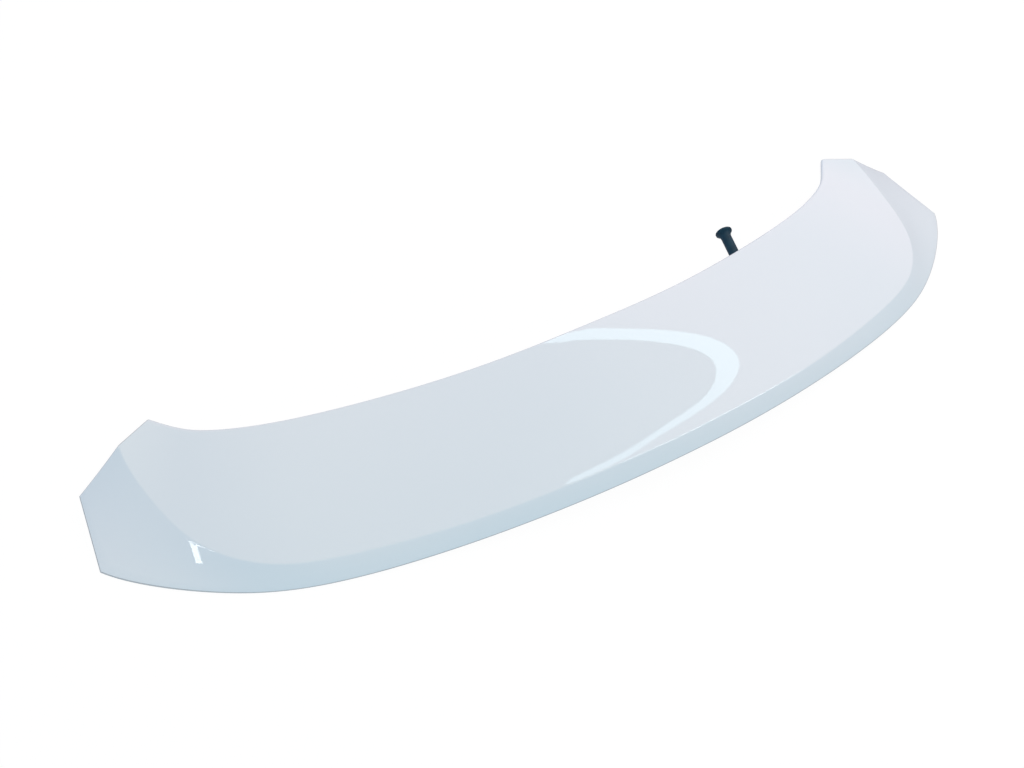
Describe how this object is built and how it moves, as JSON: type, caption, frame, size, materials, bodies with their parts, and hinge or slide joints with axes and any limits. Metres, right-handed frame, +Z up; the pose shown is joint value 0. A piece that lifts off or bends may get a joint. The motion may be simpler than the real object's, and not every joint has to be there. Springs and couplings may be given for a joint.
{
  "type": "rear spoiler",
  "caption": "Crescent-shaped painted tailgate spoiler with side fins, bonded inner panel, stud fixings underneath and a rubber hose boot at the front edge.",
  "frame": {"origin": "midway between the inner pair of fixing studs, on the plane of the stud seats", "axes": "+X to the right seen from behind the car, +Y forward, +Z up; X = 0 is the plane of symmetry of everything but the boot"},
  "size_m": [1.2002, 0.3285, 0.0658],
  "materials": {
    "white_paint": "gloss white paint under clear coat",
    "black_plastic": "grained, moulded in colour",
    "zinc_steel": "zinc plated, passivated",
    "grey_foam": "closed-cell foam",
    "natural_nylon": "natural nylon, satin",
    "black_foam": "sponge rubber",
    "black_rubber": "moulded rubber, satin"
  },
  "bodies": {
    "root": {"upper_shell": "white_paint", "lower_panel": "black_plastic", "fixing_studs": "zinc_steel", "stud_seals": "grey_foam", "push_clips": "natural_nylon", "front_seal": "black_foam", "hose_boot": "black_rubber", "fin_pads": "black_foam"}
  },
  "joints": []
}
